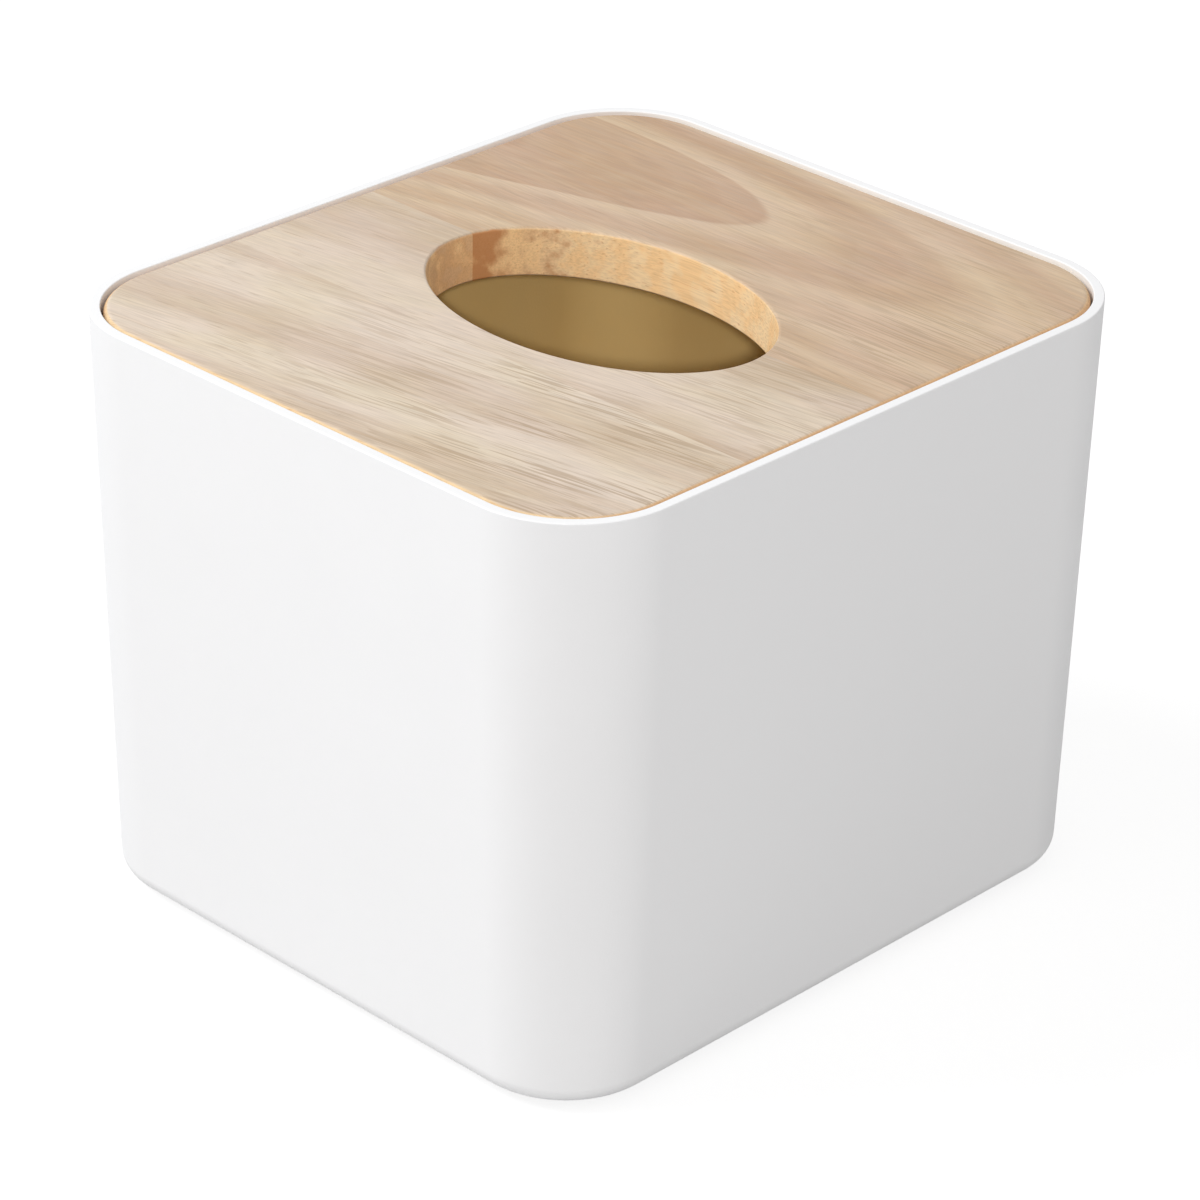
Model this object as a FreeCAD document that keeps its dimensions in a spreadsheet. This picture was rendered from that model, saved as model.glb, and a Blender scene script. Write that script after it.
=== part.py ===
# Tissue box cover: a moulded white box with a liner, a loose lid of glued wooden staves and rubber feet.
# Millimetres, +Z up. The origin is on the table, under the middle of the box. The staves run along X.

import FreeCAD, Part
import Sketcher
import math
import os

# Driving sizes, each with what it measures
SIZES = [
    ("body_width", 133.0, "across X, at the rim"),
    ("body_depth", 147.0, "across Y, at the rim"),
    ("body_height", 115.0, "from the table to the rim"),
    ("corner_radius", 21.5, "plan corners, outside, at the rim"),
    ("wall_lean", 2.6, "how far each wall leans in from the rim down to the base"),
    ("wall", 2.0, "shell wall"),
    ("base_thickness", 2.5, "shell base"),
    ("base_round", 4.0, "outside round from the walls into the base"),
    ("floor_bevel", 1.0, "inside bevel from the walls into the floor"),
    ("rim_round", 0.5, "round on the outer edge of the rim"),
    ("rim_lead_in", 0.2, "bevel on the inner edge of the rim, for the lid"),
    ("liner_wall", 2.0, "liner thickness"),
    ("liner_clearance", 0.3, "liner to shell wall"),
    ("lid_thickness", 9.8, "staves"),
    ("lid_gap", 0.5, "lid to shell wall, at the rim"),
    ("lid_recess", 0.25, "lid below the rim"),
    ("lid_edge_bevel", 0.9, "bevel along the top edge of the lid"),
    ("oval_length", 73.2, "dispensing hole along X"),
    ("oval_width", 49.0, "dispensing hole along Y"),
    ("oval_bevel", 0.6, "bevel along both edges of the hole"),
    ("back_glue_line", 3.6, "joint of the middle and back staves, behind the middle"),
    ("front_glue_line", 30.2, "joint of the front and middle staves, before the middle"),
    ("foot_diameter", 14.0, "rubber pad"),
    ("foot_height", 2.0, "rubber pad"),
    ("foot_bevel", 0.5, "bevel along the pad's lower edge"),
    ("foot_inset", 20.0, "middle of the pad from the foot of the walls"),
    ("foot_seat_depth", 1.0, "recess for the pad in the base"),
    ("foot_clearance", 0.15, "pad to the side of its recess"),
]

# Heights
BASE = "(Sizes.foot_height - Sizes.foot_seat_depth)"
FLOOR = f"({BASE} + Sizes.base_thickness)"
RIM = "Sizes.body_height"
LID_TOP = f"({RIM} - Sizes.lid_recess)"
LID_SEAT = f"({LID_TOP} - Sizes.lid_thickness)"

LEAD_IN = f"({RIM} - Sizes.rim_lead_in)"

# Lean of the walls and of the rim's bevel, from upright
WALL_ANGLE = f"atan(Sizes.wall_lean / ({RIM} - {BASE}))"
LEAD_IN_ANGLE = "45 deg"

# How far each outline stands in from the rim's outside
OUTSIDE = "0"
CAVITY = "Sizes.wall"
LINER = f"({CAVITY} + Sizes.liner_clearance)"
LINER_BORE = f"({LINER} + Sizes.liner_wall)"
LID = f"({CAVITY} + Sizes.lid_gap)"

# Feet, by the signs of their places
FEET = {
    "foot_front_left": ("-", "-"),
    "foot_front_right": ("", "-"),
    "foot_back_left": ("-", ""),
    "foot_back_right": ("", ""),
}
FOOT_X = "(Sizes.body_width / 2 - Sizes.wall_lean - Sizes.foot_inset)"
FOOT_Y = "(Sizes.body_depth / 2 - Sizes.wall_lean - Sizes.foot_inset)"

# Staves, from their front edge to their back edge
STAVES = {
    "lid_stave_back": ("Sizes.back_glue_line", "Sizes.body_depth / 2"),
    "lid_stave_middle": ("-Sizes.front_glue_line", "Sizes.back_glue_line"),
    "lid_stave_front": ("-Sizes.body_depth / 2", "-Sizes.front_glue_line"),
}

# Sketcher numbers the points of a curve from 1, and its own origin starts the axis that it numbers -1
START, END, CENTRE = range(1, 4)
ORIGIN = (-1, START)

UP = FreeCAD.Vector(0, 0, 1)
QUARTER = math.pi / 2
SAME_LEVEL = 1e-6

doc = FreeCAD.newDocument("TissueBoxCover")
sheet = doc.addObject("Spreadsheet::Sheet", "Sizes")
for row, (alias, value, meaning) in enumerate(SIZES, start=1):
    sheet.set(f"A{row}", alias)
    sheet.set(f"B{row}", str(value))
    sheet.setAlias(f"B{row}", alias)
    sheet.set(f"C{row}", meaning)
doc.recompute()


def measure(expression):
    return float(sheet.evalExpression(expression))


# An outline's inset at some height, with the lean of the walls
def leaning(inset, height):
    return f"({inset} + Sizes.wall_lean * ({RIM} - {height}) / ({RIM} - {BASE}))"


def new_body(label):
    body = doc.addObject("PartDesign::Body", label)
    body.Label = label
    return body


def new_sketch(body, name, height):
    sketch = body.newObject("Sketcher::SketchObject", name)
    plane = [item for item in body.Origin.OriginFeatures if item.Role == "XY_Plane"][0]
    sketch.AttachmentSupport = [(plane, "")]
    sketch.MapMode = "FlatFace"
    sketch.setExpression("AttachmentOffset.Base.z", height)
    return sketch


# A dimension of a sketch: its value now, and the sizes that drive it
def add_size(sketch, kind, places, expression):
    index = sketch.addConstraint(Sketcher.Constraint(kind, *places, measure(expression)))
    sketch.setExpression(f"Constraints[{index}]", expression)


# A rounded rectangle about the upright axis: four corner arcs, joined by four tangent sides
def rounded_outline(body, name, height, inset):
    sketch = new_sketch(body, name, height)
    radius = f"Sizes.corner_radius - {inset}"
    span_x = "Sizes.body_width - 2 * Sizes.corner_radius"
    span_y = "Sizes.body_depth - 2 * Sizes.corner_radius"
    x = measure(span_x) / 2
    y = measure(span_y) / 2
    for turn, (centre_x, centre_y) in enumerate([(x, -y), (x, y), (-x, y), (-x, -y)]):
        circle = Part.Circle(FreeCAD.Vector(centre_x, centre_y, 0), UP, measure(radius))
        start = (turn - 1) * QUARTER
        sketch.addGeometry(Part.ArcOfCircle(circle, start, start + QUARTER))
    corners = sketch.GeometryCount
    for corner in range(corners):
        following = (corner + 1) % corners
        ends = sketch.getPoint(corner, END), sketch.getPoint(following, START)
        side = sketch.addGeometry(Part.LineSegment(*ends))
        direction = "Horizontal" if corner % 2 else "Vertical"
        sketch.addConstraint(Sketcher.Constraint("Tangent", corner, END, side, START))
        sketch.addConstraint(Sketcher.Constraint("Tangent", side, END, following, START))
        sketch.addConstraint(Sketcher.Constraint(direction, side))
    for corner in range(1, corners):
        sketch.addConstraint(Sketcher.Constraint("Equal", 0, corner))
    sketch.addConstraint(Sketcher.Constraint("Symmetric", 0, CENTRE, 2, CENTRE, *ORIGIN))
    add_size(sketch, "Radius", (0,), radius)
    add_size(sketch, "DistanceX", (3, CENTRE, 0, CENTRE), span_x)
    add_size(sketch, "DistanceY", (0, CENTRE, 1, CENTRE), span_y)
    return sketch


def add_circle(sketch, radius, x, y):
    centre = FreeCAD.Vector(measure(x), measure(y), 0)
    circle = sketch.addGeometry(Part.Circle(centre, UP, measure(radius)))
    add_size(sketch, "Radius", (circle,), radius)
    add_size(sketch, "DistanceX", (*ORIGIN, circle, CENTRE), x)
    add_size(sketch, "DistanceY", (*ORIGIN, circle, CENTRE), y)


def volume(body):
    return 0 if body.Shape.isNull() else body.Shape.Volume


# Extrudes a sketch upwards as a new solid or a cut, with sides that lean out by the given angle
def extrude(body, kind, name, sketch, length, lean="0 deg"):
    before = volume(body)
    cuts = kind == "Pocket"
    feature = body.newObject(f"PartDesign::{kind}", name)
    feature.Profile = sketch
    feature.Reversed = cuts
    feature.setExpression("Length", length)
    feature.setExpression("TaperAngle", lean)
    doc.recompute()
    change = volume(body) - before
    if change == 0 or cuts != (change < 0):
        raise RuntimeError(f"{name} has the wrong direction")


# A solid or a cut between two heights, whose sides rise from the lean of the walls
def leaning_block(body, kind, name, low, high, inset, angle=WALL_ANGLE):
    outline = rounded_outline(body, f"{name}Outline", low, leaning(inset, low))
    extrude(body, kind, name, outline, f"{high} - {low}", angle)


def edge_names(body, wanted):
    return [f"Edge{number}" for number, edge in enumerate(body.Shape.Edges, start=1) if wanted(edge)]


# The edges that lie level at one height
def level_edges(body, height):
    level = measure(height)
    return edge_names(body, lambda edge: edge.BoundBox.ZLength < SAME_LEVEL
                      and abs(edge.BoundBox.ZMin - level) < SAME_LEVEL)


def oval_edges(body):
    return edge_names(body, lambda edge: isinstance(edge.Curve, Part.Ellipse))


def round_edges(body, name, edges, radius):
    base = body.Tip
    fillet = body.newObject("PartDesign::Fillet", name)
    fillet.Base = (base, edges)
    fillet.setExpression("Radius", radius)
    doc.recompute()


def bevel_edges(body, name, edges, size):
    base = body.Tip
    chamfer = body.newObject("PartDesign::Chamfer", name)
    chamfer.Base = (base, edges)
    chamfer.setExpression("Size", size)
    doc.recompute()


# Shell: leaning walls of one thickness, a rounded base, a thin rounded rim and a recess for each foot
def outer_shell():
    body = new_body("outer_shell")
    leaning_block(body, "Pad", "ShellOutside", BASE, RIM, OUTSIDE)
    round_edges(body, "BaseRound", level_edges(body, BASE), "Sizes.base_round")
    round_edges(body, "RimRound", level_edges(body, RIM), "Sizes.rim_round")
    leaning_block(body, "Pocket", "ShellCavity", FLOOR, RIM, CAVITY)
    leaning_block(body, "Pocket", "RimLeadIn", LEAD_IN, RIM, CAVITY, LEAD_IN_ANGLE)
    bevel_edges(body, "FloorBevel", level_edges(body, FLOOR), "Sizes.floor_bevel")
    seats = new_sketch(body, "FootSeats", BASE)
    for side_x, side_y in FEET.values():
        radius = "Sizes.foot_diameter / 2 + Sizes.foot_clearance"
        add_circle(seats, radius, side_x + FOOT_X, side_y + FOOT_Y)
    extrude(body, "Pocket", "FootRecesses", seats, "Sizes.foot_seat_depth")
    return body


# Liner: an open sleeve that stands on the floor, follows the walls and carries the lid on its top edge
def inner_liner():
    body = new_body("inner_liner")
    leaning_block(body, "Pad", "LinerOutside", FLOOR, LID_SEAT, LINER)
    bevel_edges(body, "LinerFootBevel", level_edges(body, FLOOR), "Sizes.floor_bevel")
    leaning_block(body, "Pocket", "LinerBore", FLOOR, LID_SEAT, LINER_BORE)
    return body


# Lid panel as it is glued up and shaped, before its staves are told apart
def lid_panel():
    body = new_body("lid_panel")
    outline = rounded_outline(body, "LidOutline", LID_SEAT, LID)
    extrude(body, "Pad", "LidBlank", outline, "Sizes.lid_thickness")
    bevel_edges(body, "LidEdgeBevel", level_edges(body, LID_TOP), "Sizes.lid_edge_bevel")
    sketch = new_sketch(body, "DispensingOval", LID_SEAT)
    half_sizes = measure("Sizes.oval_length / 2"), measure("Sizes.oval_width / 2")
    oval = sketch.addGeometry(Part.Ellipse(FreeCAD.Vector(), *half_sizes))
    sketch.exposeInternalGeometry(oval)
    long_axis = oval + 1
    short_axis = oval + 2
    sketch.addConstraint(Sketcher.Constraint("Horizontal", long_axis))
    sketch.addConstraint(Sketcher.Constraint("Coincident", oval, CENTRE, *ORIGIN))
    add_size(sketch, "Distance", (long_axis,), "Sizes.oval_length")
    add_size(sketch, "Distance", (short_axis,), "Sizes.oval_width")
    extrude(body, "Pocket", "DispensingHole", sketch, "Sizes.lid_thickness")
    bevel_edges(body, "OvalBevel", oval_edges(body), "Sizes.oval_bevel")
    return body


# Staves: the strips of the panel between its edges and glue lines
def lid_stave(panel, label, front, back):
    strip = doc.addObject("Part::Box", f"{label}_strip")
    strip.setExpression("Length", "Sizes.body_width")
    strip.setExpression("Width", f"({back}) - ({front})")
    strip.setExpression("Height", "Sizes.lid_thickness")
    strip.setExpression("Placement.Base.x", "-Sizes.body_width / 2")
    strip.setExpression("Placement.Base.y", front)
    strip.setExpression("Placement.Base.z", LID_SEAT)
    stave = doc.addObject("Part::Common", label)
    stave.Label = label
    stave.Base = panel
    stave.Tool = strip
    return stave


# Feet: rubber pads, bevelled below, that fill their recesses and stand proud of the base
def foot(label, side_x, side_y):
    body = new_body(label)
    sketch = new_sketch(body, f"{label}_outline", "0")
    circle = sketch.addGeometry(Part.Circle(FreeCAD.Vector(), UP, measure("Sizes.foot_diameter / 2")))
    sketch.addConstraint(Sketcher.Constraint("Coincident", circle, CENTRE, *ORIGIN))
    add_size(sketch, "Diameter", (circle,), "Sizes.foot_diameter")
    extrude(body, "Pad", f"{label}_pad", sketch, "Sizes.foot_height")
    bevel_edges(body, f"{label}_bevel", level_edges(body, "0"), "Sizes.foot_bevel")
    body.setExpression("Placement.Base.x", side_x + FOOT_X)
    body.setExpression("Placement.Base.y", side_y + FOOT_Y)
    return body


panel = lid_panel()
pieces = [outer_shell(), inner_liner()]
pieces += [lid_stave(panel, label, *edges) for label, edges in STAVES.items()]
pieces += [foot(label, *sides) for label, sides in FEET.items()]
doc.recompute()

for item in doc.Objects:
    if "Invalid" in item.State or "Error" in item.State:
        raise RuntimeError(f"{item.Name} failed: {item.State}")
for piece in pieces:
    if piece.Shape.isNull() or not piece.Shape.isValid() or len(piece.Shape.Solids) != 1:
        raise RuntimeError(f"{piece.Label} isn't one sound solid")

os.makedirs("parts", exist_ok=True)
for piece in pieces:
    piece.Shape.exportStep(f"parts/{piece.Label}.step")
    print(f"{piece.Label}: {piece.Shape.Volume:.1f} mm3")
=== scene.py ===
import bmesh
import bpy
import math
from mathutils import Matrix, Quaternion, Vector


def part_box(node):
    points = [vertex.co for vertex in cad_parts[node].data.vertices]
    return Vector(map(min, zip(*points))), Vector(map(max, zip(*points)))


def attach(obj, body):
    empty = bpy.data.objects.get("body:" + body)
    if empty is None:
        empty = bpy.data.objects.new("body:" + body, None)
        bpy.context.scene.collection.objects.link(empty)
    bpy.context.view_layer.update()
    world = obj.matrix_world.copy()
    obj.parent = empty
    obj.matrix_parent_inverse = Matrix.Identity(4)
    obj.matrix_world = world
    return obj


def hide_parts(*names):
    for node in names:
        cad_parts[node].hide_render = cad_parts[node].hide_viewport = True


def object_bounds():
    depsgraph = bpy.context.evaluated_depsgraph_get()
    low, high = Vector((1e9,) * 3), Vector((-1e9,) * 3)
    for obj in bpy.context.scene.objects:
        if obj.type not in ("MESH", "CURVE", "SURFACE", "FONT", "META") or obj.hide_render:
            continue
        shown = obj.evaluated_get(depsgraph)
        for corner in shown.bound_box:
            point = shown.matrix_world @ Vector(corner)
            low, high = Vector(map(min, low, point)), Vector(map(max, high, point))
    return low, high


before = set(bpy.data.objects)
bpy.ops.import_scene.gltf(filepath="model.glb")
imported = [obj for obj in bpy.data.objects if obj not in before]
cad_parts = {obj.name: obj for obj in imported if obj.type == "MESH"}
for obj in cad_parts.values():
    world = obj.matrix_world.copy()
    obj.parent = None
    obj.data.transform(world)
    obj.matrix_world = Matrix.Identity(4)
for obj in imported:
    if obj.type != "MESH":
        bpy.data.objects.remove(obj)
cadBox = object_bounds()
mm = 0.001
print("frame loaded with", len(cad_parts), "nodes")


# mesh tools, shared by the pieces

meshRules = {
    "roundProfile": 0.5,             # makes a bevel a true round
    "weldDistance": 0.001 * mm,
    "cutTolerance": 0.0001 * mm,
    "sharpAngle": 40.0,              # degrees, beyond which an edge stays crisp
}


# rounded rectangle at one height: a one-face grid whose corners are bevelled
def addOutline(bm, half, radius, height, segments):
    corners = bmesh.ops.create_grid(bm, x_segments=1, y_segments=1, size=1.0)["verts"]
    bmesh.ops.scale(bm, vec=(half[0], half[1], 1.0), verts=corners)
    bmesh.ops.translate(bm, vec=(0.0, 0.0, height), verts=corners)
    rounded = bmesh.ops.bevel(bm, geom=corners, offset=radius, offset_type="OFFSET", affect="VERTICES",
                              segments=segments, profile=meshRules["roundProfile"], material=-1)
    return rounded["verts"][0].link_faces[0]


# edges of a ring of points that has no faces yet
def ringEdges(verts):
    return list(dict.fromkeys(edge for vert in verts for edge in vert.link_edges))


def openLoop(bm, face):
    edges = list(face.edges)
    bmesh.ops.delete(bm, geom=[face], context="FACES_ONLY")
    return edges


def joinLoops(bm, first, second):
    bmesh.ops.bridge_loops(bm, edges=first + second)


def lowestFace(bm):
    return min(bm.faces, key=lambda face: face.calc_center_median().z)


def roundEdges(bm, edges, size, segments):
    bmesh.ops.recalc_face_normals(bm, faces=bm.faces[:])    # a bevel follows the way the faces point
    bmesh.ops.bevel(bm, geom=edges, offset=size, offset_type="OFFSET", affect="EDGES",
                    segments=segments, profile=meshRules["roundProfile"], material=-1)


# turns a finished bmesh into a piece that stands for a CAD node and rides on its body
def finishPiece(bm, name, node, body, material):
    bmesh.ops.remove_doubles(bm, verts=bm.verts[:], dist=meshRules["weldDistance"])
    bmesh.ops.recalc_face_normals(bm, faces=bm.faces[:])
    mesh = bpy.data.meshes.new(name)
    bm.to_mesh(mesh)
    bm.free()
    mesh.shade_smooth()
    mesh.set_sharp_from_angle(angle=math.radians(meshRules["sharpAngle"]))
    mesh.materials.append(material)
    piece = bpy.data.objects.new(name, mesh)
    bpy.context.scene.collection.objects.link(piece)
    flats = piece.modifiers.new("flatsStayFlat", "WEIGHTED_NORMAL")
    flats.keep_sharp = True
    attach(piece, body)
    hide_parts(node)
    print(name, "has", len(mesh.polygons), "faces")


# shader tools, shared by the materials

noiseMiddle = 0.5    # noise varies about this level


def feed(tree, socket, value):
    if isinstance(value, bpy.types.NodeSocket):
        tree.links.new(value, socket)
    else:
        socket.default_value = value


def maths(tree, operation, *values):
    node = tree.nodes.new("ShaderNodeMath")
    node.operation = operation
    for socket, value in zip(node.inputs, values):
        feed(tree, socket, value)
    return node.outputs[0]


def square(tree, value):
    return maths(tree, "MULTIPLY", value, value)


def opposite(tree, share):
    return maths(tree, "SUBTRACT", 1.0, share)


def vectorMaths(tree, operation, *values):
    node = tree.nodes.new("ShaderNodeVectorMath")
    node.operation = operation
    for socket, value in zip(node.inputs, values):
        feed(tree, socket, value)
    return node.outputs["Value" if operation == "LENGTH" else "Vector"]


def axesOf(tree, vector):
    node = tree.nodes.new("ShaderNodeSeparateXYZ")
    feed(tree, node.inputs[0], vector)
    return node.outputs


# noise over a place that is first stretched: its level is output 0, its colour output 1
def noise(tree, place, fineness, detail, roughness=0.5):
    node = tree.nodes.new("ShaderNodeTexNoise")
    feed(tree, node.inputs["Vector"], vectorMaths(tree, "MULTIPLY", place, fineness))
    node.inputs["Scale"].default_value = 1.0
    node.inputs["Detail"].default_value = detail
    node.inputs["Roughness"].default_value = roughness
    return node.outputs


# smooth step of a value from one level to another
def between(tree, value, low, high, start=0.0, end=1.0):
    node = tree.nodes.new("ShaderNodeMapRange")
    node.interpolation_type = "SMOOTHSTEP"
    for label, setting in (("Value", value), ("From Min", low), ("From Max", high),
                           ("To Min", start), ("To Max", end)):
        feed(tree, node.inputs[label], setting)
    return node.outputs["Result"]


# the sockets 0, 6, 7 and 2 are the ones that a mix node has for colours
def mixColour(tree, factor, first, second, blend="MIX"):
    node = tree.nodes.new("ShaderNodeMix")
    node.data_type = "RGBA"
    node.blend_type = blend
    node.clamp_factor = True
    feed(tree, node.inputs[0], factor)
    feed(tree, node.inputs[6], first)
    feed(tree, node.inputs[7], second)
    return node.outputs[2]


def multiplyColour(tree, first, second):
    return mixColour(tree, 1.0, first, second, "MULTIPLY")


def rgba(colour):
    return (colour[0], colour[1], colour[2], 1.0)


# a node group that takes the place on the piece and some values, and gives values
def newGroup(name, inputs, outputs):
    group = bpy.data.node_groups.new(name, "ShaderNodeTree")
    group.interface.new_socket(name="Place", in_out="INPUT", socket_type="NodeSocketVector")
    for label in inputs:
        group.interface.new_socket(name=label, in_out="INPUT", socket_type="NodeSocketFloat")
    for label in outputs:
        group.interface.new_socket(name=label, in_out="OUTPUT", socket_type="NodeSocketFloat")
    given = group.nodes.new("NodeGroupInput").outputs
    result = group.nodes.new("NodeGroupOutput").inputs
    return group, given, result


def useGroup(tree, group, values):
    node = tree.nodes.new("ShaderNodeGroup")
    node.node_tree = group
    for label, value in values.items():
        feed(tree, node.inputs[label], value)
    return node.outputs


# a material with its shader, and its place on the piece in millimetres from a point
def newMaterial(name, origin=(0.0, 0.0, 0.0)):
    material = bpy.data.materials.new(name)
    material.use_nodes = True
    tree = material.node_tree
    shader = tree.nodes["Principled BSDF"]
    coordinates = tree.nodes.new("ShaderNodeTexCoord")
    mapping = tree.nodes.new("ShaderNodeMapping")
    mapping.inputs["Scale"].default_value = (1.0 / mm, 1.0 / mm, 1.0 / mm)
    mapping.inputs["Location"].default_value = [-part / mm for part in origin]
    tree.links.new(coordinates.outputs["Object"], mapping.inputs["Vector"])
    return material, tree, shader, mapping.outputs["Vector"]


def addBump(tree, shader, height, depth, strength=1.0):
    bump = tree.nodes.new("ShaderNodeBump")
    feed(tree, bump.inputs["Strength"], strength)
    bump.inputs["Distance"].default_value = depth
    feed(tree, bump.inputs["Height"], height)
    tree.links.new(bump.outputs["Normal"], shader.inputs["Normal"])


# fine even skin of a moulded or pressed surface

skinNoise = {
    "heightDetail": 2.0,
    "mottleFineness": (0.05, 0.05, 0.05),    # per mm
    "mottleDetail": 3.0,
    "mottleLevels": (0.2, 0.8),              # they span the range of roughness
}


def buildSkinGroup():
    group, given, result = newGroup("matteSkin", ["Grain"], ["Height", "Mottle"])
    place = given["Place"]
    finer = maths(group, "DIVIDE", 1.0, given["Grain"])
    feed(group, result["Height"], noise(group, place, finer, skinNoise["heightDetail"])[0])
    mottle = noise(group, place, skinNoise["mottleFineness"], skinNoise["mottleDetail"])[0]
    feed(group, result["Mottle"], mottle)
    return group


# the skin on a material of its own, with a range of roughness and a shallow bump
def skinMaterial(name, look):
    material, tree, shader, place = newMaterial(name)
    skin = useGroup(tree, matteSkin, {"Place": place, "Grain": look["grain"]})
    rough = between(tree, skin["Mottle"], *skinNoise["mottleLevels"], *look["roughness"])
    feed(tree, shader.inputs["Roughness"], rough)
    addBump(tree, shader, skin["Height"], look["grainDepth"])
    return material, tree, shader, skin


# oiled wood: growth rings round a pith line that runs nearly along the grain, and what lies along it

woodNoise = {                        # fineness along, across and up per mm, then detail and roughness
    "sway": ((0.011, 0.03, 0.03), 2.0, 0.5),
    "band": ((0.008, 0.1, 0.1), 3.0, 0.5),
    "streak": ((0.07, 1.2, 1.2), 3.0, 0.6),
    "fibre": ((0.12, 2.8, 2.8), 2.0, 0.5),
    "pore": ((0.12, 3.4, 3.4), 0.0, 0.5),
    "fleck": ((0.07, 2.2, 2.2), 0.0, 0.5),
    "crowd": ((0.03, 0.12, 0.12), 2.0, 0.5),
    "cloud": ((0.03, 0.06, 0.06), 3.0, 0.5),
    "blotch": ((0.24, 0.24, 0.24), 4.0, 0.5),
}
woodFigure = {
    "ringRise": 0.55,                # share of a ring over which it darkens
    "ringFall": (0.95, 0.75),        # share from which it pales again, at the core and one ring out
    "fadeReach": 1.4,                # rings from the core
    "fadeTo": 0.55,                  # tone that is left to the rings there
    "coreEdge": 0.05,                # of a ring
    "coreTone": 0.9,
    "fineRings": 5.0,                # in each ring
    "fineFall": 0.8,
    "fineShare": 0.12,
    "poreLevels": (0.68, 0.78),      # noise levels from none to full
    "fleckLevels": (0.53, 0.6),
    "crowdLevels": (0.38, 0.56),
    "fewFlecks": 0.25,               # share of the flecks before they rise
}


def buildWoodGroup():
    inputs = ["Grain Turn", "Pith Across", "Pith Below", "Pith Tilt", "Ring Width", "Ring Start",
              "Sweep", "Wander", "Core", "Flecks From", "Flecks To"]
    outputs = ["Ring", "Band", "Streak", "Fibre", "Pore", "Fleck", "Cloud", "Blotch"]
    group, given, result = newGroup("oiledWood", inputs, outputs)

    # the grain is turned a little and sways across and up, not along
    turned = group.nodes.new("ShaderNodeVectorRotate")
    turned.rotation_type = "Z_AXIS"
    feed(group, turned.inputs["Vector"], given["Place"])
    feed(group, turned.inputs["Angle"], given["Grain Turn"])
    along = turned.outputs[0]
    sway = vectorMaths(group, "SUBTRACT", noise(group, along, *woodNoise["sway"])[1], [noiseMiddle] * 3)
    sway = vectorMaths(group, "MULTIPLY", sway, (0.0, 1.0, 1.0))
    place = vectorMaths(group, "MULTIPLY_ADD", sway, given["Wander"], along)
    axes = axesOf(group, place)

    # distance from the pith line, in rings
    bow = maths(group, "MULTIPLY", square(group, axes["X"]), given["Sweep"])
    across = maths(group, "SUBTRACT", maths(group, "ADD", axes["Y"], bow), given["Pith Across"])
    above = maths(group, "MULTIPLY_ADD", axes["X"], given["Pith Tilt"], given["Pith Below"])
    above = maths(group, "ADD", above, axes["Z"])
    distance = maths(group, "SQRT", maths(group, "ADD", square(group, across), square(group, above)))
    turns = maths(group, "DIVIDE", distance, given["Ring Width"])
    turns = maths(group, "ADD", turns, given["Ring Start"])

    # each ring darkens outwards and pales again, fainter with the distance from a dark core
    part = maths(group, "FRACT", turns)
    outwards = maths(group, "SUBTRACT", turns, given["Core"])
    fallStart = between(group, outwards, 0.0, 1.0, *woodFigure["ringFall"])
    late = maths(group, "MULTIPLY", between(group, part, 0.0, woodFigure["ringRise"]),
                 between(group, part, fallStart, 1.0, 1.0, 0.0))
    fade = between(group, outwards, 0.0, woodFigure["fadeReach"], 1.0, woodFigure["fadeTo"])
    core = between(group, outwards, -woodFigure["coreEdge"], 0.0, woodFigure["coreTone"], 0.0)
    late = maths(group, "MAXIMUM", maths(group, "MULTIPLY", late, fade), core)
    finer = maths(group, "FRACT", maths(group, "MULTIPLY", turns, woodFigure["fineRings"]))
    finer = maths(group, "MULTIPLY", between(group, finer, 0.0, woodFigure["fineFall"]),
                  between(group, finer, woodFigure["fineFall"], 1.0, 1.0, 0.0))
    feed(group, result["Ring"], maths(group, "MULTIPLY_ADD", finer, woodFigure["fineShare"], late))

    for label in ("Band", "Streak", "Fibre", "Cloud"):
        feed(group, result[label], noise(group, place, *woodNoise[label.lower()])[0])
    feed(group, result["Blotch"], noise(group, given["Place"], *woodNoise["blotch"])[0])
    dashes = noise(group, place, *woodNoise["pore"])[0]
    feed(group, result["Pore"], between(group, dashes, *woodFigure["poreLevels"]))

    # flecks come in crowds, more of them towards one end
    flecks = between(group, noise(group, place, *woodNoise["fleck"])[0], *woodFigure["fleckLevels"])
    crowd = between(group, noise(group, place, *woodNoise["crowd"])[0], *woodFigure["crowdLevels"])
    rise = between(group, axes["X"], given["Flecks From"], given["Flecks To"], woodFigure["fewFlecks"], 1.0)
    feed(group, result["Fleck"], maths(group, "MULTIPLY", flecks, maths(group, "MULTIPLY", crowd, rise)))
    return group


matteSkin = buildSkinGroup()
oiledWood = buildWoodGroup()
print("shader groups made")


# white moulded box

shell = {
    "wall": 2.0 * mm,
    "cornerRadius": 21.5 * mm,
    "cornerSegments": 24,
    "wallLean": 2.6 * mm,            # each wall leans in by this from rim to base
    "floorHeight": 3.5 * mm,
    "baseRound": (4.0 * mm, 10),     # size and segments, as for every round
    "rimOuterRound": (0.25 * mm, 5),
    "rimInnerRound": (0.2 * mm, 4),
    "floorRound": (1.0 * mm, 4),
    "seatDepth": 1.0 * mm,
    "seatRadius": 7.15 * mm,
    "seatSegments": 64,
    "colour": (0.87, 0.87, 0.875),
    "shade": (0.8439, 0.8439, 0.84875),
    "roughness": (0.42, 0.56),
    "grain": 0.35,                   # mm
    "grainDepth": 0.012 * mm,
}
shellLow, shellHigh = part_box("outer_shell")
feet = ["foot_front_left", "foot_front_right", "foot_back_left", "foot_back_right"]


# how far the walls have leant in at a height
def leanAt(height):
    return shell["wallLean"] * (shellHigh.z - height) / (shellHigh.z - shellLow.z)


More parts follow.
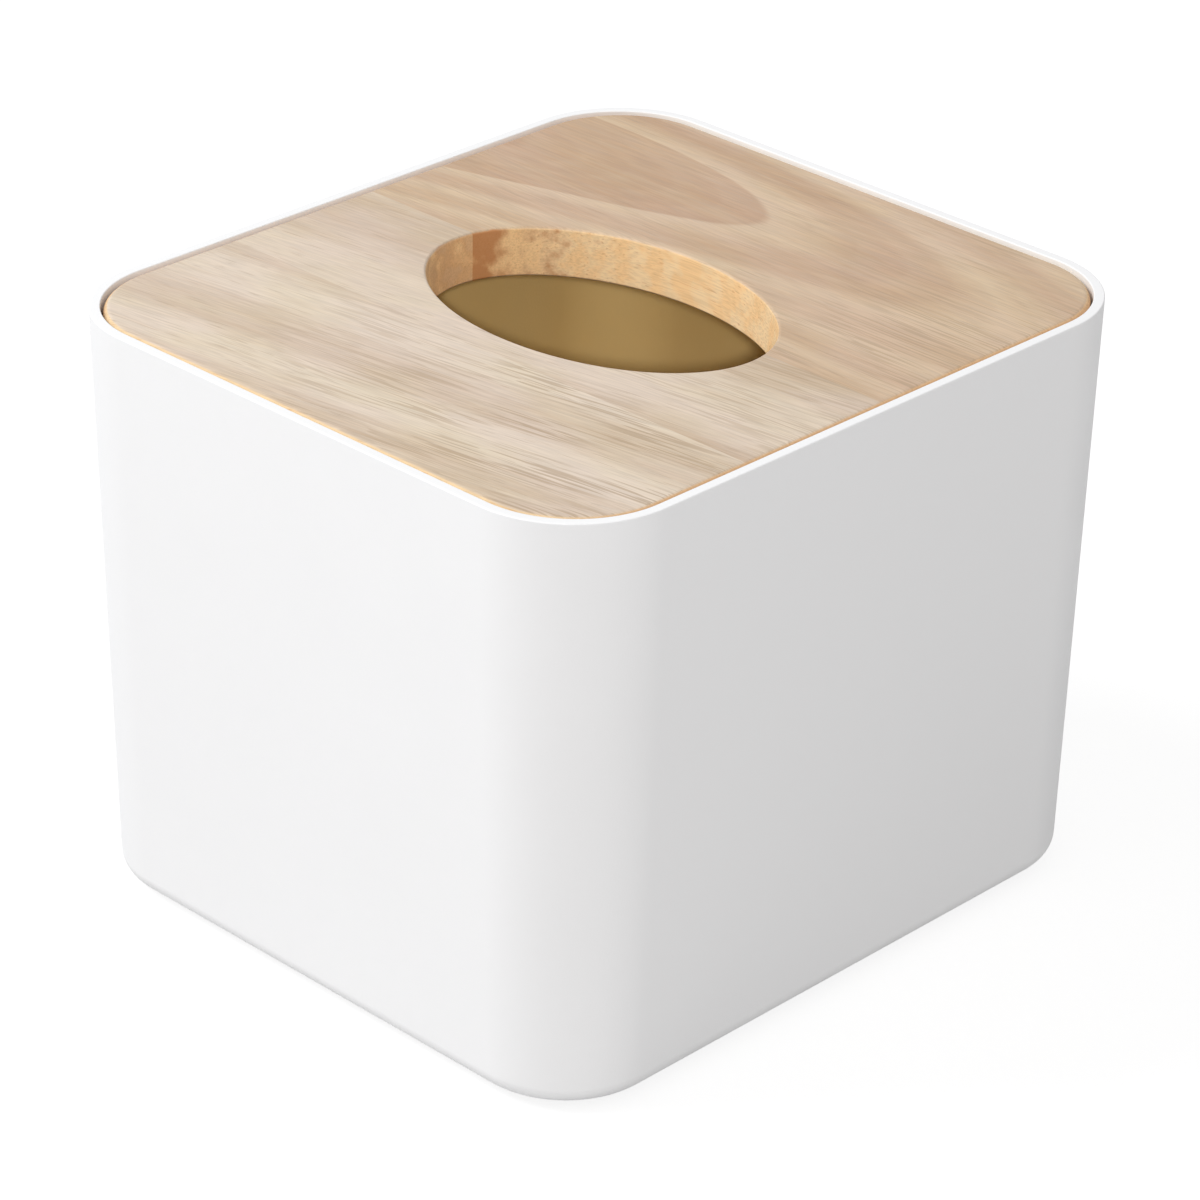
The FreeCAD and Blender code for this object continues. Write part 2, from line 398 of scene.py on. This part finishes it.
# outline that stands in from the outside of the rim, lower down with the lean of the walls
def wallOutline(bm, inset, height):
    inset = inset + leanAt(height)
    half = (shellHigh.x - inset, shellHigh.y - inset)
    return addOutline(bm, half, shell["cornerRadius"] - inset, height, shell["cornerSegments"])


def whitePlastic():
    material, tree, shader, skin = skinMaterial("whiteMatteShell", shell)
    tone = mixColour(tree, skin["Mottle"], rgba(shell["shade"]), rgba(shell["colour"]))
    feed(tree, shader.inputs["Base Color"], tone)
    return material


# recess for a foot: gives the edges of its mouth in the underside
def addSeat(bm, node):
    low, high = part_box(node)
    middle = (low + high) / 2.0
    size = {"segments": shell["seatSegments"], "radius": shell["seatRadius"]}
    spot = Matrix.Translation((middle.x, middle.y, shellLow.z))
    raised = Matrix.Translation((middle.x, middle.y, shellLow.z + shell["seatDepth"]))
    mouth = ringEdges(bmesh.ops.create_circle(bm, matrix=spot, **size)["verts"])
    roof = bmesh.ops.create_circle(bm, cap_ends=True, matrix=raised, **size)["verts"]
    joinLoops(bm, mouth, list(roof[0].link_faces[0].edges))
    return mouth


def buildShell():
    bm = bmesh.new()
    base = wallOutline(bm, 0.0, shellLow.z)
    rimOuter = openLoop(bm, wallOutline(bm, 0.0, shellHigh.z))
    rimInner = openLoop(bm, wallOutline(bm, shell["wall"], shellHigh.z))
    floor = wallOutline(bm, shell["wall"], shell["floorHeight"])
    baseEdges, floorEdges = list(base.edges), list(floor.edges)
    joinLoops(bm, rimOuter, rimInner)    # level rings come before the walls
    joinLoops(bm, baseEdges, rimOuter)
    joinLoops(bm, rimInner, floorEdges)
    roundEdges(bm, rimOuter, *shell["rimOuterRound"])
    roundEdges(bm, rimInner, *shell["rimInnerRound"])
    roundEdges(bm, floorEdges, *shell["floorRound"])
    roundEdges(bm, baseEdges, *shell["baseRound"])
    # the underside is filled again round the recesses for the feet
    bm.faces.ensure_lookup_table()
    rings = openLoop(bm, lowestFace(bm))
    for node in feet:
        rings += addSeat(bm, node)
    bmesh.ops.triangle_fill(bm, edges=rings, use_beauty=True)
    finishPiece(bm, "boxShell", "outer_shell", "case", whitePlastic())


buildShell()


# tan liner that carries the lid

liner = {
    "inset": 2.3 * mm,               # from the outside of the rim
    "wall": 2.0 * mm,
    "edgeRound": (0.3 * mm, 3),
    "footRound": (1.0 * mm, 3),
    "colour": (0.93, 0.69, 0.30),
    "shade": (0.89, 0.63, 0.25),
    "roughness": (0.68, 0.85),
    "grain": 0.5,                    # mm
    "grainDepth": 0.03 * mm,
}


def tanBoard():
    material, tree, shader, skin = skinMaterial("tanLinerBoard", liner)
    tone = mixColour(tree, skin["Mottle"], rgba(liner["shade"]), rgba(liner["colour"]))
    feed(tree, shader.inputs["Base Color"], tone)
    return material


def buildLiner():
    bm = bmesh.new()
    low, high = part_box("inner_liner")
    outer = liner["inset"]
    inner = liner["inset"] + liner["wall"]
    outerFoot = openLoop(bm, wallOutline(bm, outer, low.z))
    outerTop = openLoop(bm, wallOutline(bm, outer, high.z))
    innerTop = openLoop(bm, wallOutline(bm, inner, high.z))
    innerFoot = openLoop(bm, wallOutline(bm, inner, low.z))
    joinLoops(bm, outerTop, innerTop)
    joinLoops(bm, outerFoot, innerFoot)
    joinLoops(bm, outerFoot, outerTop)
    joinLoops(bm, innerTop, innerFoot)
    roundEdges(bm, outerTop + innerTop, *liner["edgeRound"])
    roundEdges(bm, outerFoot, *liner["footRound"])
    finishPiece(bm, "boxLiner", "inner_liner", "case", tanBoard())


buildLiner()


# wooden lid: one panel with an oval hole, cut into its staves along the glue lines

lid = {
    "inset": 2.5 * mm,               # from the outside of the rim
    "cornerSegments": 31,
    "edgeRound": (1.3 * mm, 5),
    "ovalLength": 73.2 * mm,
    "ovalWidth": 49.0 * mm,
    "ovalRound": (0.6 * mm, 5),
}
staves = {
    "lidStaveBack": {
        "node": "lid_stave_back",
        "slot": "back_stave_wood",
        "pale": (0.610, 0.456, 0.308),
        "late": (0.470, 0.302, 0.188),
        "figure": {"Ring": 0.8, "Band": 1.1, "Streak": 0.8, "Cloud": 0.8},
        "poreShare": 0.35,
        "fleckShare": 0.5,
        "endAndShadeShare": 0.85,
        "pith": {"Grain Turn": 0.0, "Pith Across": 46.2, "Pith Below": 33.55, "Pith Tilt": 0.1,
                 "Ring Width": 5.75, "Ring Start": 0.157, "Sweep": 0.0014, "Wander": 2.0,
                 "Core": 6.0, "Flecks From": 0.0, "Flecks To": 55.0},
    },
    "lidStaveMiddle": {
        "node": "lid_stave_middle",
        "slot": "middle_stave_wood",
        "pale": (0.662, 0.548, 0.427),
        "late": (0.490, 0.354, 0.243),
        "figure": {"Ring": 1.2, "Band": 0.7, "Streak": 0.8, "Cloud": 1.0},
        "poreShare": 0.35,
        "fleckShare": 0.4,
        "endAndShadeShare": 0.45,
        "pith": {"Grain Turn": -0.12, "Pith Across": -190.0, "Pith Below": 60.0, "Pith Tilt": 0.02,
                 "Ring Width": 40.0, "Ring Start": 0.615, "Wander": 5.0,
                 "Flecks From": -10.0, "Flecks To": 50.0},
    },
    "lidStaveFront": {
        "node": "lid_stave_front",
        "slot": "front_stave_wood",
        "pale": (0.680, 0.571, 0.449),
        "late": (0.51, 0.376, 0.264),
        "figure": {"Ring": 1.2, "Band": 0.5, "Streak": 0.85, "Cloud": 0.7},
        "poreShare": 0.4,
        "fleckShare": 0.6,
        "endAndShadeShare": 0.2,
        "pith": {"Grain Turn": -0.13, "Pith Across": 160.0, "Pith Below": 40.0, "Pith Tilt": -0.03,
                 "Ring Width": 24.0, "Ring Start": 0.847, "Wander": 4.0,
                 "Flecks From": -50.0, "Flecks To": 25.0},
    },
}
oilFinish = {
    "meanTone": 0.4,                 # from pale to late wood
    "warmLevels": (0.35, 0.65),
    "tints": ((1.0, 0.995, 1.04, 1.0), (1.0, 1.01, 0.98, 1.0)),
    "fibreLevels": (0.3, 0.7),
    "fibreTones": (0.91, 1.06),
    "pore": (0.36, 0.25, 0.15),
    "roughness": (0.42, 0.60),
    "grainDepth": 0.05 * mm,
}
sawnFinish = {
    "gold": (1.0, 0.67, 0.34),       # faces round the hole, in blotches
    "paleGold": (1.0, 0.74, 0.43),
    "blotchLevels": (0.4, 0.62),
    "edge": (0.76, 0.56, 0.33),      # faces along the lid's edge
    "holeReach": (1.1, 1.3),         # where hole gives way to edge, in sizes of the oval
    "poreShare": 0.3,
    "uprightLevels": (0.2, 0.8),     # how upright a face is when it starts to be golden and when it is
    "edgeHaste": 3.5,                # the lid's edge turns golden sooner
    "bareShare": 0.95,
    # dark brown of end grain and pores, also used as painted shade on sawn faces
    "endGrainAndShade": (0.53, 0.20, 0.055),
    "endBlotch": 1.6,                # how much blotches break the end grain and painted shade of the hole
    # only sawn faces that look right, away from the key lamp, get the dark brown: painted shade
    "shadeSideShift": 0.8,
    "endAndShadeLevels": (0.58, 1.05),
    "sideLevels": (0.25, 0.7),       # how far a face of the edge looks to a side
    "edgeEndsAndShade": 0.4,                 # share of end grain there, raised to paint the shade on the lid's right edge
    "roughness": 0.85,
    "bumpStrength": (0.6, 0.1),      # of oiled and of sawn faces
}


# the oiled faces: pale to late wood by the figure, then clouds, fibres, pores and flecks
def oiledColour(tree, grain, fibre, stave):
    tone = oilFinish["meanTone"]
    for figure, share in stave["figure"].items():
        step = maths(tree, "MULTIPLY_ADD", grain[figure], share, -noiseMiddle * share)
        tone = maths(tree, "ADD", tone, step)
    colour = mixColour(tree, tone, rgba(stave["pale"]), rgba(stave["late"]))
    warmth = between(tree, grain["Cloud"], *oilFinish["warmLevels"])
    colour = multiplyColour(tree, colour, mixColour(tree, warmth, *oilFinish["tints"]))
    colour = multiplyColour(tree, colour, fibre)
    pores = maths(tree, "MULTIPLY", grain["Pore"], stave["poreShare"])
    flecks = maths(tree, "MULTIPLY", grain["Fleck"], stave["fleckShare"])
    return mixColour(tree, maths(tree, "MAXIMUM", pores, flecks), colour, rgba(oilFinish["pore"]))


# the sawn faces: golden in the hole, browner along the lid's edge
def sawnColour(tree, grain, fibre, outside):
    blotches = between(tree, grain["Blotch"], *sawnFinish["blotchLevels"])
    gold = mixColour(tree, blotches, rgba(sawnFinish["gold"]), rgba(sawnFinish["paleGold"]))
    sawn = mixColour(tree, outside, gold, rgba(sawnFinish["edge"]))
    pores = maths(tree, "MULTIPLY", grain["Pore"], sawnFinish["poreShare"])
    return multiplyColour(tree, mixColour(tree, pores, sawn, rgba(sawnFinish["endGrainAndShade"])), fibre)


# share of dark brown: end grain in blotches in the hole, with painted shade on the hole's faces that look
# right, away from the key lamp; and end grain on the sides of the lid's edge, made darker as painted shade
# on the right side
def endAndShadeShare(tree, grain, sideways, outside, stave):
    endsAndShade = maths(tree, "MULTIPLY_ADD", grain["Blotch"], sawnFinish["endBlotch"],
                 maths(tree, "SUBTRACT", sideways, sawnFinish["shadeSideShift"]))
    endsAndShade = between(tree, endsAndShade, *sawnFinish["endAndShadeLevels"], 0.0, stave["endAndShadeShare"])
    endsAndShade = maths(tree, "MULTIPLY", endsAndShade, opposite(tree, outside))
    # the lid's edge darkens on faces that look sideways: end grain, made dark enough to paint the shade on
    # its right side
    sidesAndShade = between(tree, maths(tree, "ABSOLUTE", sideways), *sawnFinish["sideLevels"],
                    0.0, sawnFinish["edgeEndsAndShade"])
    return maths(tree, "MAXIMUM", endsAndShade, maths(tree, "MULTIPLY", outside, sidesAndShade))


def woodMaterial(name, stave):
    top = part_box(stave["node"])[1].z
    material, tree, shader, place = newMaterial(name, origin=(0.0, 0.0, top))
    grain = useGroup(tree, oiledWood, dict(stave["pith"], Place=place))
    fibre = between(tree, grain["Fibre"], *oilFinish["fibreLevels"], *oilFinish["fibreTones"])

    # which faces are sawn, and which of those belong to the lid's edge
    facing = axesOf(tree, tree.nodes.new("ShaderNodeNewGeometry").outputs["Normal"])
    upright = opposite(tree, maths(tree, "ABSOLUTE", facing["Z"]))
    ovals = (2.0 * mm / lid["ovalLength"], 2.0 * mm / lid["ovalWidth"], 0.0)
    reach = vectorMaths(tree, "LENGTH", vectorMaths(tree, "MULTIPLY", place, ovals))
    outside = between(tree, reach, *sawnFinish["holeReach"])
    haste = maths(tree, "MULTIPLY_ADD", outside, sawnFinish["edgeHaste"], 1.0)
    bare = between(tree, maths(tree, "MULTIPLY", upright, haste), *sawnFinish["uprightLevels"],
                   0.0, sawnFinish["bareShare"])

    colour = oiledColour(tree, grain, fibre, stave)
    colour = mixColour(tree, bare, colour, sawnColour(tree, grain, fibre, outside))
    # painted shade mixed with end grain: dark brown on sawn faces that look away from the key lamp
    endsAndShade = endAndShadeShare(tree, grain, facing["X"], outside, stave)
    colour = mixColour(tree, endsAndShade, colour, rgba(sawnFinish["endGrainAndShade"]))
    feed(tree, shader.inputs["Base Color"], colour)
    rough = between(tree, grain["Fibre"], *oilFinish["fibreLevels"], *oilFinish["roughness"])
    rough = between(tree, bare, 0.0, 1.0, rough, sawnFinish["roughness"])
    feed(tree, shader.inputs["Roughness"], rough)
    height = maths(tree, "SUBTRACT", grain["Fibre"], grain["Pore"])
    strength = between(tree, bare, 0.0, 1.0, *sawnFinish["bumpStrength"])
    addBump(tree, shader, height, oilFinish["grainDepth"], strength)
    return material


def buildLidPanel():
    low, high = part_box("lid_stave_middle")
    half = (shellHigh.x - lid["inset"], shellHigh.y - lid["inset"])
    radius = shell["cornerRadius"] - lid["inset"]
    points = 4 * (lid["cornerSegments"] + 1)    # the oval has as many as the outline
    bm = bmesh.new()
    outlines = []
    ovals = []
    for height in (low.z, high.z):
        outlines.append(openLoop(bm, addOutline(bm, half, radius, height, lid["cornerSegments"])))
        made = bmesh.ops.create_circle(bm, segments=points, radius=0.5)["verts"]
        bmesh.ops.scale(bm, vec=(lid["ovalLength"], lid["ovalWidth"], 1.0), verts=made)
        bmesh.ops.translate(bm, vec=(0.0, 0.0, height), verts=made)
        ovals.append(ringEdges(made))
        joinLoops(bm, outlines[-1], ovals[-1])
    joinLoops(bm, *outlines)
    joinLoops(bm, *ovals)
    roundEdges(bm, outlines[1], *lid["edgeRound"])
    roundEdges(bm, ovals[0] + ovals[1], *lid["ovalRound"])
    return bm


# what is left of the panel between two glue lines, with its cut sides closed
def cutStave(panel, node):
    bm = panel.copy()
    low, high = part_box(node)
    for line, facing in ((low.y, -1.0), (high.y, 1.0)):
        cut = bmesh.ops.bisect_plane(bm, geom=bm.verts[:] + bm.edges[:] + bm.faces[:],
                                     dist=meshRules["cutTolerance"], plane_co=(0.0, line, 0.0),
                                     plane_no=(0.0, facing, 0.0), clear_outer=True)
        edges = [item for item in cut["geom_cut"] if isinstance(item, bmesh.types.BMEdge)]
        openEdges = [edge for edge in edges if edge.is_boundary]
        if openEdges:
            bmesh.ops.edgeloop_fill(bm, edges=openEdges)
    return bm


panel = buildLidPanel()
for name, stave in staves.items():
    finishPiece(cutStave(panel, stave["node"]), name, stave["node"], "lid",
                woodMaterial(name + "Wood", stave))
panel.free()


# rubber feet

foot = {
    "segments": 64,
    "edgeRound": (0.5 * mm, 5),
    "dishRadius": 4.6 * mm,          # shallow moulded dish underneath
    "dishDepth": 0.15 * mm,
    "dishSlope": 0.3 * mm,
    "colour": (0.40, 0.40, 0.41),
    "dust": (0.52, 0.51, 0.49),
    "dustLevels": (0.4, 0.7),
    "dustShare": 0.6,
    "roughness": (0.72, 0.9),
    "grain": 0.6,                    # mm
    "grainDepth": 0.03 * mm,
}


def greyRubber():
    material, tree, shader, skin = skinMaterial("greyFootRubber", foot)
    dust = between(tree, skin["Height"], *foot["dustLevels"], 0.0, foot["dustShare"])
    feed(tree, shader.inputs["Base Color"], mixColour(tree, dust, rgba(foot["colour"]), rgba(foot["dust"])))
    return material


def buildFoot(node, material):
    low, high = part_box(node)
    middle = (low + high) / 2.0
    radius = (high.x - low.x) / 2.0
    bm = bmesh.new()
    bmesh.ops.create_cone(bm, cap_ends=True, segments=foot["segments"], radius1=radius, radius2=radius,
                          depth=high.z - low.z, matrix=Matrix.Translation(middle))
    under = lowestFace(bm)
    rimEdges = list(under.edges)
    bmesh.ops.inset_region(bm, faces=[under], thickness=radius - foot["dishRadius"], use_boundary=True,
                           use_even_offset=True)
    bmesh.ops.inset_region(bm, faces=[under], thickness=foot["dishSlope"], depth=-foot["dishDepth"],
                           use_boundary=True, use_even_offset=True)
    roundEdges(bm, rimEdges, *foot["edgeRound"])
    parts = node.split("_")
    name = parts[0] + "".join(part.capitalize() for part in parts[1:]) + "Pad"
    finishPiece(bm, name, node, "case", material)


rubber = greyRubber()
for node in feet:
    buildFoot(node, rubber)
print("pieces made")


# floor, world and lamps

stage = {
    "floorSize": 8.0,
    "floorBounce": 0.52,             # grey that other light sees
    "floorPale": 0.3,                # share of the seen floor that takes shadow
    "floorGlow": 0.78,
    "worldLight": 0.53,
}
lamps = {
    "keyLamp": {"azimuth": -50.0, "elevation": 45.0, "distance": 1.6, "size": 0.9, "power": 16.4,
                "colour": (0.99, 1.0, 1.01)},
    "frontFill": {"azimuth": 44.5, "elevation": 25.9, "distance": 1.7, "size": 0.06, "power": 9.4,
                  "colour": (1.0, 0.975, 0.96)},
}


# direction towards a place round the object: azimuth 0 is the front, 90 its right
def towards(azimuth, elevation):
    turn, rise = math.radians(azimuth), math.radians(elevation)
    return Vector((math.sin(turn) * math.cos(rise), -math.cos(turn) * math.cos(rise), math.sin(rise)))


# 1 for rays from the camera, from gloss or through glass, which see a white surround
def seenMask(tree):
    path = tree.nodes.new("ShaderNodeLightPath")
    seen = maths(tree, "MAXIMUM", path.outputs["Is Camera Ray"], path.outputs["Is Glossy Ray"])
    return maths(tree, "MAXIMUM", seen, path.outputs["Is Transmission Ray"])


def greyDiffuse(tree, level):
    node = tree.nodes.new("ShaderNodeBsdfDiffuse")
    node.inputs["Color"].default_value = rgba([level] * 3)
    return node.outputs[0]


def paleFloor():
    material = bpy.data.materials.new("paleFloor")
    material.use_nodes = True
    tree = material.node_tree
    tree.nodes.remove(tree.nodes["Principled BSDF"])
    glow = tree.nodes.new("ShaderNodeEmission")
    glow.inputs["Strength"].default_value = stage["floorGlow"]
    seenFloor = tree.nodes.new("ShaderNodeAddShader")
    tree.links.new(greyDiffuse(tree, stage["floorPale"]), seenFloor.inputs[0])
    tree.links.new(glow.outputs[0], seenFloor.inputs[1])
    choice = tree.nodes.new("ShaderNodeMixShader")
    feed(tree, choice.inputs[0], seenMask(tree))
    tree.links.new(greyDiffuse(tree, stage["floorBounce"]), choice.inputs[1])
    tree.links.new(seenFloor.outputs[0], choice.inputs[2])
    tree.links.new(choice.outputs[0], tree.nodes["Material Output"].inputs["Surface"])
    return material


def buildFloor():
    bm = bmesh.new()
    bmesh.ops.create_grid(bm, x_segments=1, y_segments=1, size=stage["floorSize"] / 2.0)
    mesh = bpy.data.meshes.new("floor")
    bm.to_mesh(mesh)
    bm.free()
    mesh.materials.append(paleFloor())
    floor = bpy.data.objects.new("floor", mesh)
    bpy.context.scene.collection.objects.link(floor)


def buildWorld():
    world = bpy.data.worlds.new("studio")
    world.use_nodes = True
    tree = world.node_tree
    background = tree.nodes["Background"]
    background.inputs["Color"].default_value = (1.0, 1.0, 1.0, 1.0)
    strength = between(tree, seenMask(tree), 0.0, 1.0, stage["worldLight"], 1.0)
    feed(tree, background.inputs["Strength"], strength)
    bpy.context.scene.world = world


def buildLamps():
    target = Vector((0.0, 0.0, (cadBox[0].z + cadBox[1].z) / 2.0))
    for name, lamp in lamps.items():
        data = bpy.data.lights.new(name, "AREA")
        data.shape = "DISK"
        data.size = lamp["size"]
        data.energy = lamp["power"]
        data.color = lamp["colour"]
        light = bpy.data.objects.new(name, data)
        direction = towards(lamp["azimuth"], lamp["elevation"])
        light.location = target + direction * lamp["distance"]
        light.rotation_euler = direction.to_track_quat("Z", "Y").to_euler()
        light.visible_camera = False
        bpy.context.scene.collection.objects.link(light)


buildFloor()
buildWorld()
buildLamps()
print("stage lit")


# camera at the photograph's viewing angle

view = {
    "azimuth": 44.2,
    "elevation": 27.42,
    "roll": 1.0,
    "distance": 0.8691,
    "sensor": 36.0,
    "lens": 142.64,
    "shift": (0.0041, -0.0156),
}


def buildCamera():
    back = towards(view["azimuth"], view["elevation"])
    data = bpy.data.cameras.new("photoCamera")
    data.sensor_width = view["sensor"]
    data.lens = view["lens"]
    data.shift_x, data.shift_y = view["shift"]
    camera = bpy.data.objects.new("photoCamera", data)
    target = Vector((0.0, 0.0, (shellLow.z + shellHigh.z) / 2.0))
    camera.location = target + back * view["distance"]
    roll = Quaternion((0.0, 0.0, 1.0), math.radians(view["roll"]))
    camera.rotation_euler = (back.to_track_quat("Z", "Y") @ roll).to_euler()
    bpy.context.scene.collection.objects.link(camera)
    bpy.context.scene.camera = camera


buildCamera()
bpy.context.scene.view_settings.view_transform = "Standard"
print("camera set")
